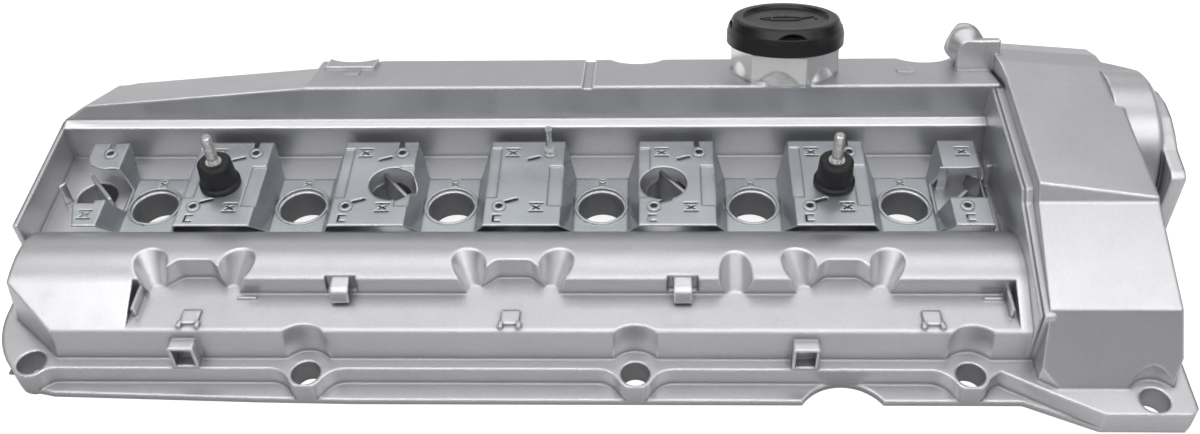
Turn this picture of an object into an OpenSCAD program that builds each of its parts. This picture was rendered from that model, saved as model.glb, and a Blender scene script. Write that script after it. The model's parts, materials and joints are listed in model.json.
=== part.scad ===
// Cam cover for an in-line six engine with coil-on-plug ignition
// X runs along the engine, Y across it towards the intake side, Z away from the gasket face.
// Sizes along the engine are counted from the middle of the cylinder row; the finished nodes are
// set back so that the origin lies between the middle pair of cover bolts

/* [Cylinder row] */
// Distance between neighbouring spark plug wells
bore_pitch = 91; // [90:0.25:92]
// Radius of the opening of each plug well
well_r = 13.9; // [12.5:0.1:14.2]
// Wall thickness of each plug well tube
well_wall = 3.2; // [2.5:0.1:4]
// Height of the lower end of the plug wells above the gasket face
well_foot_z = 9; // [4:0.5:14]

/* [Gasket flange] */
// Height of the flange land above the gasket face
flange_h = 16; // [13:0.5:18]
// Height of the thin ledge along the flange
ledge_h = 4; // [3:0.5:6]
// Half width of the cover at the ledge
ledge_half = 125; // [123:0.2:128]
// Half width of the cover at the flange land
land_half = 112.8; // [111.5:0.2:114]
// Half width between the outer faces of the long walls at the flange
wall_half = 105.3; // [104:0.1:106.5]
// Distance from the row centre line to the bolt rows
bolt_half = 115.6; // [115:0.1:117]
// Radius of the cover bolt holes
bolt_hole_r = 8.1; // [6.5:0.1:8.4]
// Outer radius of the cover bolt bosses
bolt_boss_r = 10.2; // [9.6:0.1:12]
// Radius of the wrench recess above each bolt
wrench_r = 16; // [15:0.25:18]
// Radius of the wrench recesses on the intake side
wrench_back_r = 21; // [19:0.25:22]
// Distance of the middle bolts from the row centre
bolt_mid_x = 66.85; // [64:0.25:69]
// Bolt position near the end without chain
bolt_left = [-271.5, 108.8];
// Bolt position near the chain end, exhaust side
bolt_right = [342.8, 132.1];
// Distance of the chain end bolt from the row centre line on the intake side
bolt_right_back = 127; // [125:0.1:130]
// Radius of the flange corner at the end without chain
corner_r = 60; // [50:0.5:70]

/* [Casting walls] */
// General wall thickness of the casting
wall_t = 4; // [3:0.1:4.5]
// Height of the top face of the coil valley floor
valley_z = 28.8; // [27:0.1:31]
// Distance from the last half pitch to the outer face of the plain end
left_margin = 22; // [21:0.25:24]
// Distance from the last half pitch to the chain end of the valley
right_margin = 6.5; // [6:0.25:8]
// Height of the wall at the plain end of the valley
end_wall_z = 52; // [50:0.5:56]

/* [Exhaust cam tunnel] */
// Distance of the cam tunnel axis from the row centre line
cam_y = 61.2; // [60:0.1:62]
// Height of the cam tunnel axis above the gasket face
cam_z = 11.4; // [10.5:0.1:12.5]
// Outer radius of the cam tunnel
tunnel_r = 42; // [41:0.1:42.6]
// Slope of the tunnel flank towards the exhaust wall
flank_deg = 25; // [22:0.5:28]
// Height of the wiring shelf cut into the tunnel flank
shelf_z = 38.5; // [37.8:0.1:40]
// Distance of the shelf riser from the row centre line
riser_y = 77; // [75:0.25:79]
// Distance of the shelf recess end from the chain case
shelf_end_gap = 10; // [8:0.5:20]
// Shelf recess start, measured from the plain end
shelf_start = 81.5; // [75:0.5:90]

/* [Shelf scallops] */
// Depth of the centre pocket of each scallop behind the riser
pocket_d = 12; // [9:0.2:13]
// Width of the floor of the centre pocket
pocket_w = 16; // [12:0.5:20]
// Radius of the slanted flutes where they meet the shelf
flute_r = 4.8; // [4:0.1:5.5]
// Distance of the flute foot from the scallop centre
flute_x = 20; // [19:0.25:22]
// Radius of the single groove in the riser
groove_cut_r = 9; // [7:0.1:10]

/* [Intake side] */
// Distance of the lower valley wall from the row centre line
valley_y = 46.5; // [44:0.25:47.5]
// Height of the ledge in the valley wall
ledge_z = 54.6; // [52:0.2:57]
// Distance of the upper valley wall from the row centre line
ridge_y = 53; // [51:0.25:55]
// Height of the ridge above the gasket face
ridge_z = 80; // [76:0.5:84]
// Slope of the intake plateau
plateau_deg = 21; // [19:0.5:23]
// Distance of the plateau's back edge from the row centre line
back_y = 103; // [102:0.25:104]

/* [Chain case] */
// Length of the chain case
case_len = 75.8; // [72:0.2:80]
// Distance of the foot of the front face from the row centre line
case_front_y = 125.2; // [123:0.2:126]
// Distance of the upper edge of the front face from the row centre line
case_brow_y = 102.3; // [100:0.25:105]
// Height of the upper edge of the front face
case_brow_z = 54.8; // [51:0.2:58]
// Height of the foot of the step in the case roof
case_step_z = 77.4; // [74:0.2:80]
// Height of the case roof at the valley side
case_top_z = 86; // [82:0.5:90]
// Height of the case roof at the outer side
case_top_out_z = 80; // [76:0.2:82]
// Height of the rim rail beside the valley
rail_z = 77; // [75:0.5:80]
// Radius of the gear dome at the intake cam
dome_r = 47.5; // [45:0.5:48.5]
// Distance of the gear dome axis from the row centre line
dome_y = 48; // [46:0.5:50]
// Height of the gear dome axis
dome_z = 34; // [33:0.5:35]
// Length by which the gear dome stands out of the case
dome_out = 15; // [12:0.5:18]
// Thickness of the end plate behind the gear dome
plate_t = 8; // [5:0.5:9]

/* [Filler neck and cap] */
// Position of the filler neck along the engine
neck_x = 158.2; // [140:0.5:170]
// Distance of the neck axis from the ridge, along the plateau
neck_v = 29.2; // [28.6:0.1:31]
// Corner radius of the six-sided filler neck
neck_r = 33.2; // [32:0.1:34]
// Height of the neck above the plateau
neck_h = 18.4; // [16:0.2:22]
// Radius of the filler bore
filler_r = 20.5; // [19:0.1:21.5]
// Radius of the groove that holds the cap's lugs
groove_r = 25.2; // [24:0.1:26]
// Outer radius of the filler cap
cap_r = 35.8; // [34.5:0.1:37]
// Height of the filler cap's rim above its lower edge
cap_rim_h = 10.6; // [9:0.2:13]
// Full height of the filler cap
cap_h = 16.2; // [14:0.2:18]
// Angle from locked to released
cap_turn_deg = 75; // [60:1:85]
// Lead of the cap's ramp for one full turn
cap_lead = 9.6; // [6:0.1:12]

/* [Breather pipe] */
// Position of the breather pipe along the engine
pipe_x = 271; // [266:0.5:273]
// Outer radius of the breather pipe
pipe_r = 11; // [10:0.1:12]
// Radius of the bead at the pipe's mouth
bead_r = 12; // [11.4:0.1:12.2]
// Height of the pipe axis above the plateau
pipe_up = 13; // [12.9:0.1:14]
// Distance of the pipe's mouth from the ridge, along the plateau
pipe_v = 48.6; // [46:0.2:52]
// Length of the pipe outside its boss
pipe_len = 18; // [15:0.5:22]

/* [Coil tray] */
// Thickness of the pressed coil tray
sheet_t = 1.2; // [1:0.1:1.6]
// Height of the tray's platforms above the gasket face
tray_z = 46; // [44:0.25:48]
// Width of the top of each platform
roof_w = 44.6; // [42:0.2:47]
// Width of the level land round each well
land_w = 32; // [31:0.2:34]
// Front edge of the platforms
tray_front_y = 31; // [29:0.25:32]
// Back edge of the platforms
tray_back_y = 41; // [38:0.25:42]
// Front edge of the lands
land_front_y = 22; // [20:0.25:22.2]
// Back edge of the lands
land_back_y = 24.5; // [23:0.25:27]
// Radius of the tray's openings above the casting bosses
window_r = 14; // [12:0.25:15]
// Radius of the ring lip round each well
lip_r = 14.7; // [14.5:0.1:15]
// Side step of the coil screw bosses from the platform's centre
coil_dx = 13.8; // [13:0.1:15]
// Distance of the rear coil screw bosses from the row centre line
coil_back_y = 30.5; // [28:0.25:32]
// Distance of the front coil screw bosses from the row centre line
coil_front_y = 16; // [14:0.25:18]
// Radius of the coil screw threads
coil_thread_r = 2.1; // [2:0.1:3]

/* [Buffers and studs] */
// Outward step of the buffers from their platform's centre
buffer_out = 2; // [0:0.5:3]
// Distance of the buffers from the row centre line
buffer_y = 4; // [2:0.5:6]
// Height of the rubber buffers
buffer_h = 18.5; // [16:0.5:22]
// Radius of the buffer's foot
buffer_foot_r = 12.2; // [11:0.1:13]
// Radius of the buffer's top
buffer_top_r = 10; // [9:0.1:11]
// Radius of the buffer studs
stud_r = 3; // [2.5:0.5:4]
// Free length of the upper buffer studs
stud_len = 19.5; // [15:0.5:24]
// Height of the earth stud above its platform
earth_h = 20; // [14:0.5:24]

/* [Hidden] */
$fn = 48;

// Shared steps
eps = 0.05;
over = 1;
seat = 0.3;

// Places along the row
wells = 6;
half_row = wells / 2 * bore_pitch;
left_x = -half_row - left_margin;
end_wall_t = 2.7;
valley_left = left_x + end_wall_t;
valley_right = half_row + right_margin;
rail_w = 7.5;
case_left = valley_right + rail_w - 3;
case_right = case_left + case_len;
bolt_xs = [bolt_mid_x - 2 * bore_pitch, bolt_mid_x, bolt_mid_x + 2 * bore_pitch];
scallop_xs = [-2 * bore_pitch + 1, -1.5, 2 * bore_pitch - 0.5];
groove_x = 4 / 3 * bore_pitch + 0.8;
hook_xs = [-bore_pitch - 6, bore_pitch + 2];
shelf_x0 = left_x + shelf_start;
shelf_x1 = case_left - shelf_end_gap;
shelf_len = shelf_x1 - shelf_x0;
end_x = left_x + 4.6;

// Exhaust side section
wall_lean = 1;
flank_y = -cam_y - (tunnel_r - eps) * sin(flank_deg);
flank_z = cam_z + (tunnel_r - eps) * cos(flank_deg);
brow_z = flank_z - (wall_half - wall_lean + flank_y) * tan(flank_deg);
tunnel_in_r = tunnel_r - wall_t;

// Intake side section
back_z = ridge_z - (back_y - ridge_y) * tan(plateau_deg);

module along_x(x0, x1) {
    translate([x0, 0, 0]) rotate([90, 0, 90]) linear_extrude(height = x1 - x0) children();
}

module along_y(y0, y1) {
    translate([0, y1, 0]) rotate([90, 0, 0]) linear_extrude(height = y1 - y0) children();
}

module from_z(z0, z1) {
    translate([0, 0, z0]) linear_extrude(height = z1 - z0) children();
}

// Origin at the middle pair of cover bolts
module row() {
    translate([-bolt_mid_x, 0, 0]) children();
}

module both_sides() {
    children();
    mirror([0, 1, 0]) children();
}

// Frame on the sloping plateau, with its z axis square to the plateau
module on_plateau(x, v) {
    translate([x, ridge_y, ridge_z]) rotate([-plateau_deg, 0, 0]) translate([0, v, 0]) children();
}

// Gasket flange

// Bolt boss whose outline runs into the land edge with round shoulders of radius f.
// The origin is the bolt, the land edge lies at gap behind it, and sides lists the shoulders
module bolt_boss(gap, f, sides) {
    dy = f - gap;
    dx = sqrt(pow(bolt_boss_r + f - eps, 2) - pow(dy, 2));
    k = bolt_boss_r / (bolt_boss_r + f);
    circle(r = bolt_boss_r);
    for (s = sides) difference() {
        polygon([[0, gap + over], [s * dx, gap + over], [s * dx, gap - eps], [s * dx * k, -dy * k], [0, 0]]);
        translate([s * dx, -dy]) circle(r = f);
    }
}

// Corner at the end without chain: a wide arc that touches the corner bolt's boss
corner_x = left_x - 3 + corner_r;
corner_dx = corner_x - bolt_left[0];
corner_dy = sqrt(pow(corner_r - bolt_boss_r, 2) - pow(corner_dx, 2));
corner_y = -bolt_left[1] + corner_dy;

module corner_shape() {
    reach = corner_r / (corner_r - bolt_boss_r);
    tip = [corner_x - corner_dx * reach, corner_y - corner_dy * reach];
    intersection() {
        translate([corner_x, corner_y]) circle(r = corner_r - eps);
        polygon([[corner_x, corner_y], tip, [left_x - 20, tip[1]], [left_x - 20, corner_y]]);
    }
    translate([bolt_left[0], -bolt_left[1]]) bolt_boss(bolt_left[1] - land_half, 10, [1]);
    polygon([[corner_x, corner_y], [corner_x, -land_half], [bolt_left[0] + 4, -land_half],
             [bolt_left[0], -bolt_left[1]], [left_x + 8, -bolt_left[1] + 8], [left_x - 2.5, corner_y]]);
}

// Outline shared by ledge and land round the chain end
chain_end = [[valley_right + 35.5, -bolt_right[1] - 9.4], [case_right + 0.5, -bolt_right[1] - 9.4],
             [case_right + 4.3, -bolt_right[1] - 5.6], [case_right + 4.3, -8],
             [case_right + dome_out + plate_t, -8], [case_right + dome_out + plate_t, back_y + 10],
             [case_right + 4.3, bolt_right_back + 4], [case_right + 0.5, bolt_right_back + 9.4],
             [bolt_right[0] - 14, bolt_right_back + 9.4], [valley_right + 10, ledge_half]];

// Outline of the ledge: the whole footprint of the cover
module ledge_shape() {
    difference() {
        polygon(concat([[left_x - 2.9, corner_y], [bolt_left[0], corner_y],
                 [bolt_left[0], -bolt_left[1] - bolt_boss_r + 1], [bolt_left[0] + 12, -ledge_half + 4.4],
                 [-1.6 * bore_pitch, -ledge_half + 1], [-bore_pitch, -ledge_half],
                 [valley_right - 2, -ledge_half + 0.4]], chain_end,
                [[-1.6 * bore_pitch, ledge_half - 1],
                 [bolt_left[0] + 12, ledge_half - 4.4], [bolt_left[0], bolt_left[1] + bolt_boss_r - 1],
                 [bolt_left[0], -corner_y], [left_x - 2.9, -corner_y]]));
        // Arc cut out of the ledge
        translate([2 * bore_pitch - 1.5, -land_half - 26]) circle(r = 26.3);
    }
    both_sides() corner_shape();
}

// Outline of the flange land
module land_shape() {
    polygon(concat([[left_x - 2.9, corner_y], [bolt_left[0] + 15, corner_y], [bolt_left[0] + 15, -land_half],
             [valley_right - 15, -land_half], [valley_right, -land_half - 8.9],
             [valley_right + 14, -land_half - 16.9]], chain_end,
            [[valley_right - 8, land_half], [bolt_left[0] + 15, land_half], [bolt_left[0] + 15, -corner_y], [left_x - 2.9, -corner_y]]));
    both_sides() {
        corner_shape();
        for (x = bolt_xs) translate([x, -bolt_half]) bolt_boss(bolt_half - land_half, 14, [-1, 1]);
    }
}

module flange() {
    from_z(0, ledge_h) ledge_shape();
    from_z(ledge_h - eps, flange_h) intersection() {
        land_shape();
        ledge_shape();
    }
}

// Long walls and the exhaust cam tunnel

module exhaust_section() {
    polygon([[-wall_half, 0], [-wall_half, flange_h], [-wall_half + wall_lean, brow_z], [flank_y, flank_z],
             [-cam_y, cam_z + tunnel_r - 2], [-cam_y, 0]]);
    intersection() {
        translate([-cam_y, cam_z]) circle(r = tunnel_r, $fn = 96);
        translate([-cam_y - tunnel_r, valley_z - wall_t]) square([2 * tunnel_r, tunnel_r + cam_z]);
    }
}

// Half spaces beyond the raked end face and the cut corner of the tunnel, moved inwards by t
module end_cuts(t) {
    translate([end_x + t, -wall_half - over, flange_h]) rotate([0, 10.4, 0]) translate([-30, 0, -over - flange_h])
        cube([30, wall_half - 8, 80]);
    translate([end_x + 32 + t * 1.3, -wall_half + 1 + t / 2, flange_h]) rotate([0, 0, -40.2]) rotate([-4.5, 0, 0])
        translate([-90, -30, -flange_h - over]) cube([130, 30, 80]);
}

module exhaust_body() {
    difference() {
        along_x(end_x - 1, case_left + over) exhaust_section();
        end_cuts(0);
    }
}

// Slanted flute beside a scallop pocket that widens upwards, s is -1 or 1
module flute(s) {
    translate([s * flute_x, -riser_y - 1.5, shelf_z]) rotate([-31.5, s * 14.3, 0])
        translate([0, 0, -4]) cylinder(r1 = flute_r - 1, r2 = flute_r + 7.7, h = 34);
}

module scallop_cut() {
    intersection() {
        union() {
            from_z(shelf_z, shelf_z + 30)
                polygon([[-pocket_w / 2 - 15.6, -riser_y - over], [-pocket_w / 2 - 9.5, -riser_y + 4.6],
                         [-pocket_w / 2 - 2.3, -riser_y + pocket_d - 1], [-pocket_w / 2, -riser_y + pocket_d],
                         [pocket_w / 2, -riser_y + pocket_d], [pocket_w / 2 + 2.3, -riser_y + pocket_d - 1],
                         [pocket_w / 2 + 9.5, -riser_y + 4.6], [pocket_w / 2 + 15.6, -riser_y - over]]);
            for (s = [-1, 1]) flute(s);
        }
        translate([-60, -riser_y - 12, shelf_z]) cube([120, 40, 40]);
    }
}

module shelf_recess() {
    translate([shelf_x0, -wall_half - over, shelf_z]) cube([shelf_len, wall_half + over - riser_y, 40]);
    for (x = scallop_xs) translate([x, 0, 0]) scallop_cut();
    // Single upright groove in the riser
    intersection() {
        translate([groove_x, -riser_y - 4.8, shelf_z + 6.9]) rotate([-49.8, 0, 0])
            translate([0, 0, -20]) cylinder(r = groove_cut_r, h = 60);
        translate([groove_x - 20, -riser_y - 12, shelf_z]) cube([40, 40, 40]);
    }
    // Shallow slots behind the riser hooks
    for (x = hook_xs) translate([x - 8.6, -riser_y - over, shelf_z + 2]) cube([17.2, over + 2.2, 20]);
}

// Valley floor, plug wells, end wall and rim rail

module valley() {
    translate([left_x + over, -cam_y + 20, valley_z - wall_t])
        cube([case_left - left_x, cam_y - 20 + ridge_y, wall_t]);
    // Body below the floor, hollowed out later
    translate([end_x, -cam_y, 0]) cube([case_left - end_x, cam_y + valley_y, valley_z - over]);
    // End wall of the valley
    along_x(left_x, valley_left) polygon([[-37.5, 0], [-37.5, end_wall_z], [ridge_y + 2, end_wall_z],
                                         [ridge_y + 2, 0]]);
}

// Round pockets in the valley floor, one under each of the first three tray openings
pocket_r = 12.4;
pocket_floor = 12;
pocket_places = [[-3 * bore_pitch + 6.5, 10], [-bore_pitch + 7, 10.8], [bore_pitch - 5.5, 13]];

module pockets_outer() {
    for (p = pocket_places) translate([p[0], p[1], pocket_floor - wall_t])
        cylinder(r = pocket_r + wall_t, h = valley_z - pocket_floor + wall_t - over);
}

module pockets() {
    for (p = pocket_places) translate([p[0], p[1], pocket_floor]) cylinder(r = pocket_r, h = valley_z);
    // The last pocket, under the wide opening, has straight sides
    from_z(pocket_floor, 2 * valley_z) polygon([[3 * bore_pitch - 8.5, -6], [3 * bore_pitch - 7, 21.3],
        [3 * bore_pitch - 3.3, 29], [valley_right - 1, 24.5], [valley_right - 1, -6]]);
}

fin_t = 2.2;
fin_top = 37;

// Upright fins across the pockets and two posts beside the end platforms
module valley_trim() {
    for (p = pocket_places) translate([p[0], p[1], pocket_floor - eps]) rotate([0, 0, -50])
        translate([-pocket_r + 1.2, 2.6, 0]) cube([2 * pocket_r + 2, fin_t, fin_top - pocket_floor]);
    translate([3 * bore_pitch - 11, 5, valley_z - 1]) rotate([0, 0, 48])
        translate([-11, -fin_t / 2, 0]) cube([15, fin_t, fin_top - valley_z]);
    translate([left_x + 12, 2.4, valley_z - eps]) rotate([0, 0, 53]) cube([4.6, 1.6, tray_z - valley_z - 1]);
    translate([valley_right - 2.4, 19, valley_z - eps]) cube([2.4 + over, 1.6, tray_z - valley_z - 1]);
}

module wells_outer() {
    for (i = [0:wells - 1]) translate([(i - (wells - 1) / 2) * bore_pitch, 0, well_foot_z])
        cylinder(r = well_r + well_wall, h = valley_z - well_foot_z - over);
}

module wells_bore() {
    for (i = [0:wells - 1]) translate([(i - (wells - 1) / 2) * bore_pitch, 0, -over])
        cylinder(r = well_r, h = valley_z + 2 * over);
}

// Roof line of the case along Y, shared by the case and the rim rail
rail_step_y = 33;

module rail_section(drop) {
    polygon([[-wall_half + drop, 0], [-wall_half + drop, case_brow_z - 2.3 - drop],
             [-rail_step_y - 6, rail_z - 6 - drop], [-rail_step_y + drop / 2, rail_z - drop],
             [ridge_y, rail_z - drop], [ridge_y + 14, rail_z - 6 - drop], [ridge_y + 14, 0]]);
}

module rail() {
    difference() {
        along_x(valley_right + 1, case_left + 5) rail_section(0);
        // Groove between the two beads of the rail
        difference() {
            along_x(valley_right + 2.4, valley_right + 3.6) rail_section(-over);
            along_x(valley_right + 2, valley_right + 4) rail_section(1.2);
        }
    }
}

// Intake side

// The ledge and the ridge edge slope so that they catch the light
ledge_fall = 1.4;
ridge_edge = 0.5;

module intake_section() {
    polygon([[valley_y, valley_z - over], [valley_y, ledge_z - ledge_fall], [ridge_y, ledge_z],
             [ridge_y, ridge_z - 2 * ridge_edge], [ridge_y + 2.6 * ridge_edge, ridge_z - ridge_edge],
             [back_y, back_z], [back_y + 2.3, flange_h], [back_y + 2.3, 0], [ridge_y, 0]]);
}

// Space above the lower, falling plateau at the plain end, raised by up
module falling_cut(up) {
    translate([0, ridge_y, ridge_z]) rotate([-plateau_deg - 5, 0, 0]) translate([0, -20, up])
        along_y(0, 120) polygon([[-bolt_mid_x - 2 * 35, -0.3], [left_x + 18.7, -12.3], [left_x - 5, -27.2], [left_x - 5, 60],
                                 [-bolt_mid_x - 2 * 35, 60]]);
}

module intake_body() {
    difference() {
        along_x(left_x + 2.4, case_left + over) intake_section();
        falling_cut(0);
        // Narrow joint groove across the plateau
        on_plateau(37, -over) translate([-3, 0, -1.5]) cube([6, 70, 5]);
    }
    // Raised block at the rear edge of the plateau
    on_plateau(-bolt_mid_x - 64, 34) translate([0, 0, -1]) cube([31, 17, 3.6]);
    // Small pads on the plateau
    for (p = [[-112.9, 28], [233, 27]]) on_plateau(p[0], p[1]) translate([-5, -4, -1]) cube([10, 8, 1.8]);
}

// Chain case

module case_plan() {
    difference() {
        polygon([[case_left, -wall_half + 1], [case_left, -case_front_y + 6.3],
                 [case_left + 10.3, -case_front_y], [case_right - 6, -case_front_y],
                 [case_right, -case_front_y + 13], [case_right, case_back_y + 4],
                 [case_left, case_back_y + 4]]);
        for (y = [-bolt_right[1], bolt_right_back]) translate([bolt_right[0], y]) circle(r = wrench_r - 2);
    }
}

case_back_y = back_y + 10;
case_tilt = atan((case_top_z - case_top_out_z) / (case_len - 12));

// Front slope and foot of the case
module case_section() {
    polygon([[-case_front_y, 0], [-case_front_y, flange_h], [-case_brow_y, case_brow_z],
             [-rail_step_y - 12, case_step_z], [-rail_step_y - 2, case_step_z + 11.4],
             [-rail_step_y - 2, case_top_z + 10], [case_back_y, case_top_z + 10], [case_back_y + 4, flange_h],
             [case_back_y + 4, 0]]);
}

// Roof and rear slope, tilted so that they fall towards the outer end
module case_roof(inset) {
    translate([case_left + 2, 0, case_top_z]) rotate([0, case_tilt, 0]) along_x(-20, case_len + 40)
        polygon([[-case_front_y - 20, -200], [-case_front_y - 20, -inset], [ridge_y, -inset], [ridge_y + 20, -3.4 - inset], [ridge_y + 40, -9.6 - inset],
                 [case_back_y, -20 - inset], [case_back_y + 20, -44], [case_back_y + 20, -200]]);
}

module case_front_section(inset) {
    polygon([[case_left + inset, -over], [case_left + inset, flange_h],
             [case_left + 3.8 + inset, case_top_z + 4], [case_right - 8.7 - inset, case_top_z + 4],
             [case_right - inset, flange_h], [case_right - inset, -over]]);
}

module chain_case() {
    intersection() {
        along_x(case_left - over, case_right + over) case_section();
        case_roof(0);
        along_y(-case_front_y - over, case_back_y + 4) case_front_section(0);
        from_z(-over, case_top_z + over) case_plan();
    }
}

module gear_dome() {
    intersection() {
        union() {
            translate([case_right - 12, dome_y, dome_z]) rotate([0, 90, 0])
                cylinder(r1 = dome_r + 1, r2 = dome_r, h = 9 + dome_out, $fn = 96);
            // Flared root behind the crown, level with the roof
            intersection() {
                translate([case_right - 12, dome_y, dome_z]) rotate([0, 90, 0])
                    cylinder(r1 = dome_r + 6, r2 = dome_r - eps, h = 9 + dome_out, $fn = 96);
                case_roof(0);
                translate([case_right - 20, dome_y + 13, 0]) cube([60, 80, 120]);
            }
            translate([case_right + dome_out - 3 - eps, dome_y, dome_z]) rotate([0, 90, 0])
                cylinder(r1 = dome_r, r2 = dome_r - 3, h = 3 + 2 * eps, $fn = 96);
            // End plate with a straight upper edge and a square ear
            along_x(case_right + dome_out - eps, case_right + dome_out + plate_t)
                polygon([[-8, 0], [-8, 59], [-4, 61.6], [dome_y - 35, 63.2], [dome_y - 26, 67.4],
                         [dome_y - 15, 70.6], [dome_y - 2, 71], [dome_y + 12, 68], [dome_y + 30, 58],
                         [dome_y + 44, 42], [dome_y + 50, 0]]);
        }
        translate([case_right - 20, -20, 0]) cube([60, back_y + 22, 100]);
    }
}

// Filler neck and breather pipe, on the plateau

module neck_body() {
    on_plateau(neck_x, neck_v) {
        translate([0, 0, -over]) rotate([0, 0, -12]) cylinder(r = neck_r, h = neck_h + over, $fn = 6);
        translate([0, 0, -over]) cylinder(r1 = neck_r - 1.4, r2 = neck_r - 4.4, h = 9);
    }
}

// How far the filler bore runs on below the plateau
bore_depth = 13;

module neck_bore() {
    on_plateau(neck_x, neck_v) {
        translate([0, 0, -bore_depth]) cylinder(r = filler_r, h = neck_h + bore_depth + over);
        // Annular groove under the lip, where the cap's lugs turn
        translate([0, 0, neck_h - groove_top - groove_h]) cylinder(r = groove_r, h = groove_h);
        // Two entries for the lugs
        for (a = [0, 180]) rotate([0, 0, a + cap_turn_deg]) intersection() {
            translate([0, 0, neck_h - groove_top - groove_h / 2]) cylinder(r = groove_r - entry_gap, h = 20);
            rotate([0, 0, -lug_deg / 2 - 4]) wedge(lug_deg + 8, groove_r * 2, 40);
        }
    }
}

// Frame at the pipe's mouth with z pointing back along the pipe
module at_pipe() {
    on_plateau(pipe_x, pipe_v) translate([0, 0, pipe_up]) rotate([90, 0, 0]) children();
}

// Block behind the pipe: left face from the pipe's axis, height, corner radius, thickness
block_r = 6;
block_t = 3;
bead_slope = 1.6;
bead_w = 3.4;

module pipe_body() {
    at_pipe() rotate_extrude() polygon([[0, 0], [pipe_r - 0.6, 0], [bead_r, bead_slope],
        [bead_r, bead_slope + bead_w], [pipe_r, 2 * bead_slope + bead_w], [pipe_r, pipe_len - block_t - 2],
        [pipe_r + 0.6, pipe_len - block_t - 2], [block_r - 0.1, pipe_len + block_t], [0, pipe_len + block_t]]);
    // Block that carries the pipe and joins it to the case
    at_pipe() translate([0, 0, pipe_len - block_t]) linear_extrude(height = 2 * block_t + 0.1) union() {
        circle(r = block_r);
        translate([-eps, -pipe_up - over]) square([case_left - pipe_x + block_r, pipe_up + over + block_r]);
        translate([-block_r, -pipe_up - over]) square([2 * block_r, pipe_up + 2 * over]);
    }
}

passage_r = pipe_r - 5;

module pipe_bore() {
    at_pipe() {
        translate([0, 0, -over]) cylinder(r = pipe_r - 2.5, h = pipe_len - block_t + over);
        translate([0, 0, -over]) cylinder(r = passage_r, h = pipe_len);
        // Flat passage down through the block into the cover
        translate([-passage_r + 2, -pipe_up - 12, pipe_len - block_t + eps])
            cube([2 * passage_r - 2, pipe_up + 12, 2 - eps]);
    }
}

// Sector of a disc that starts at the x axis and opens by a degrees
module wedge(a, r, h) {
    linear_extrude(height = h) polygon([[0, 0], [r, 0], [r * cos(a / 2), r * sin(a / 2)] * 1.3,
                                        [r * cos(a), r * sin(a)]]);
}

// Wiring hooks and loops on the exhaust side

module riser_hook(x) {
    translate([x, -riser_y, 0]) along_x(-5, 5)
        polygon([[4, shelf_z + 7.6], [4, shelf_z + 11.6], [-4.5, shelf_z + 10.6], [-7.6, shelf_z + 8.8],
                 [-8.6, shelf_z + 1.6], [-6.6, shelf_z + 1.6], [-5.8, shelf_z + 7.6]]);
}

module shelf_clip(x) {
    translate([x, -riser_y - 18.5, shelf_z - eps]) {
        translate([-5, -5, 0]) cube([10, 10, 2]);
        for (s = [-1, 1]) translate([s * 5 - 1.2, -7.5, 0]) cube([2.4, 4, 2.6]);
    }
}

loop_w = 14.2;
loop_h = 16.6;
loop_t = 1.6;

module strap_loop(x) {
    translate([x, -wall_half - 7.2, flange_h - eps]) difference() {
        translate([-loop_w / 2, 0, 0]) cube([loop_w, 9, loop_h]);
        translate([-loop_w / 2 + loop_t, -over, loop_t]) cube([loop_w - 2 * loop_t, 20, loop_h - 2 * loop_t]);
    }
}

loop_xs = [-2 * bore_pitch - 0.5, 2 * bore_pitch - 22.5];

module exhaust_trim() {
    for (x = hook_xs) riser_hook(x);
    for (x = [-2 * bore_pitch + 3.5, -1.5, 2.5 * bore_pitch]) shelf_clip(x);
    // Guide plates at both ends of the shelf and small ribs beside them
    for (x = [shelf_x0 + 2.6, shelf_x1 - 4.4]) translate([x, -riser_y - 17.5, shelf_z - eps]) cube([1.6, 18, 7]);
    for (x = [-1.65 * bore_pitch, shelf_x1 - 11]) translate([x - 5.2, -riser_y - 5, shelf_z - eps])
        cube([10.4, 1.6, 1.6]);
    for (x = loop_xs) strap_loop(x);
}

// Inside of the casting

module cavity_section() {
    polygon([[-wall_half + wall_t, -over], [-wall_half + wall_t + wall_lean / 2, shelf_z - wall_t],
             [-riser_y + wall_t, shelf_z - wall_t], [-riser_y + wall_t, shelf_z], [-cam_y, shelf_z],
             [-cam_y, -over]]);
    intersection() {
        translate([-cam_y, cam_z]) circle(r = tunnel_in_r, $fn = 96);
        translate([-riser_y + wall_t, valley_z - wall_t - over]) square([2 * tunnel_r, tunnel_r + cam_z]);
    }
    translate([-cam_y - over, -over]) square([cam_y + ridge_y, valley_z - wall_t + over]);
    polygon([[valley_y + wall_t, -over], [valley_y + wall_t, ledge_z - ledge_fall - wall_t / 2],
             [ridge_y + wall_t, ledge_z - wall_t], [ridge_y + wall_t, ridge_z - wall_t / cos(plateau_deg) - 1.5],
             [back_y - wall_t, back_z - wall_t / cos(plateau_deg) + 1.5], [back_y - wall_t + 2, -over]]);
}

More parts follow.
